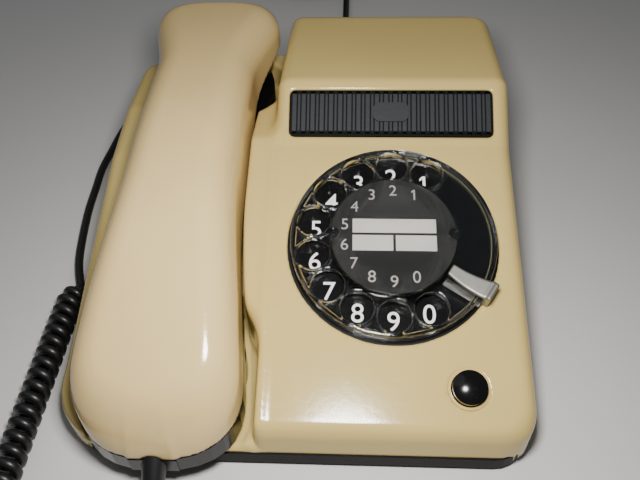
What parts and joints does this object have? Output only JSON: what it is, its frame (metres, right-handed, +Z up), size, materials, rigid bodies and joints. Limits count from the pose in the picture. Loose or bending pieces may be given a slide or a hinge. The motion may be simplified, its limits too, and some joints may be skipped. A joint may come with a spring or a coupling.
{
  "type": "rotary dial desk telephone",
  "caption": "Cream desk telephone with a clear finger-wheel dial, slotted sounder grille, ground button and a handset resting lengthwise in a trough on the left, with a curly cord.",
  "frame": {"origin": "centre of the telephone's footprint on the surface it stands on, cords left out", "axes": "+X to the user's right, +Y to the rear, +Z up"},
  "size_m": [0.208, 0.5248, 0.0892],
  "materials": {
    "base": "satin black moulded tray",
    "feet": "matte",
    "housing": "glossy cream, lightly yellowed",
    "screws": "zinc plated",
    "grille": "satin dark grey",
    "badge": "satin grey, blank",
    "dial_black": "black",
    "number_plate": "glossy black with white digits",
    "finger_stop": "dull die cast zinc",
    "brass_plate": "brushed",
    "contacts": "dull",
    "steel": "plain",
    "spring": "drawn wire",
    "clear_wheel": "clear acrylic, polished",
    "card": "satin grey card",
    "clear_cover": "clear acrylic",
    "clear_clips": "clear acrylic",
    "brass_gear": "machined",
    "pale_plastic": "natural",
    "collar": "cream",
    "button": "polished black",
    "dark_plastic": "satin",
    "phenolic": "phenolic resin",
    "copper_coil": "varnished copper wire",
    "magnet": "plain",
    "gong": "nickel plated",
    "transformer": "varnished laminations",
    "capacitor": "ochre box",
    "resistor": "lacquered",
    "cord_black": "satin black PVC",
    "plug": "black moulded",
    "handset_cream": "glossy warm cream",
    "handset_black": "black",
    "capsule": "pressed"
  },
  "bodies": {
    "body": {"base_plate": "base", "rubber_feet": "feet", "housing": "housing", "housing_screws": "screws", "grille": "grille", "grille_badge": "badge", "dial_case": "dial_black", "number_plate": "number_plate", "finger_stop": "finger_stop", "dial_frame": "brass_plate", "pulse_contacts": "contacts", "governor_cup": "steel", "dial_spring": "spring", "button_collar": "collar", "button_spring": "spring", "button_contacts": "contacts", "hook_spring": "spring", "hook_switch": "phenolic", "ringer_frame": "steel", "ringer_coils": "copper_coil", "ringer_magnet": "magnet", "ringer_pivot": "steel", "gong_large": "gong", "gong_small": "gong", "gong_posts": "steel", "gong_screws": "screws", "circuit_board": "phenolic", "speech_transformer": "transformer", "line_capacitor": "capacitor", "resistors": "resistor", "terminal_block": "pale_plastic", "line_gland": "cord_black", "line_cord": "cord_black", "line_cord_coil": "cord_black", "line_plug": "plug", "handset_gland": "cord_black", "handset_cord_tail": "cord_black", "handset_cord_curl": "cord_black"},
    "dial": {"finger_wheel": "clear_wheel", "number_card": "card", "card_cover": "clear_cover", "cover_clips": "clear_clips", "dial_shaft": "steel", "drive_gear": "brass_gear", "pulse_cam": "pale_plastic"},
    "governor": {"governor_shaft": "steel", "governor_weights": "brass_gear"},
    "button": {"button_cap": "button"},
    "hook": {"hook_plunger": "dark_plastic"},
    "ringer_clapper": {"clapper": "steel"},
    "handset": {"handset_upper_shell": "handset_cream", "handset_lower_shell": "handset_black", "ear_cap": "handset_black", "mouth_cap": "handset_black", "receiver_capsule": "capsule", "transmitter_capsule": "capsule", "handset_screws": "screws", "handset_strain_relief": "cord_black", "handset_cord_lead": "cord_black"}
  },
  "joints": [
    {"name": "handset_lift", "type": "slide", "parent": "body", "child": "handset", "axis": [0, 0, 1], "range_m": [0, 0.15]},
    {"name": "dial_turn", "type": "hinge", "parent": "body", "child": "dial", "pos_m": [0.0385, -0.0266, 0.04821], "axis": [0, 0.3387, -0.9409], "range_deg": [0, 326], "stiffness_Nm_per_rad": 0.008, "springref_deg": -68.75},
    {"name": "governor_spin", "type": "hinge", "parent": "body", "child": "governor", "pos_m": [0.02464, -0.01356, 0.0529], "axis": [0, 0.3387, -0.9409], "range_deg": [-980, 0]},
    {"name": "button_press", "type": "slide", "parent": "body", "child": "button", "axis": [0, 0.3387, -0.9409], "range_m": [0, 0.0025], "stiffness_N_per_m": 300, "springref_m": -0.002, "deforming": ["button_spring"]},
    {"name": "hook_rise", "type": "slide", "parent": "body", "child": "hook", "axis": [0, 0, 1], "range_m": [0, 0.005], "deforming": ["hook_spring"]},
    {"name": "clapper_swing", "type": "hinge", "parent": "body", "child": "ringer_clapper", "pos_m": [0.0405, 0.066, 0.028], "axis": [0, 1, 0], "range_deg": [-4, 4], "stiffness_Nm_per_rad": 0.01}
  ],
  "couplings": [
    {"joint": "governor_spin", "follows": "dial_turn", "ratio": -3},
    {"joint": "hook_rise", "follows": "handset_lift", "ratio": 0.03}
  ]
}
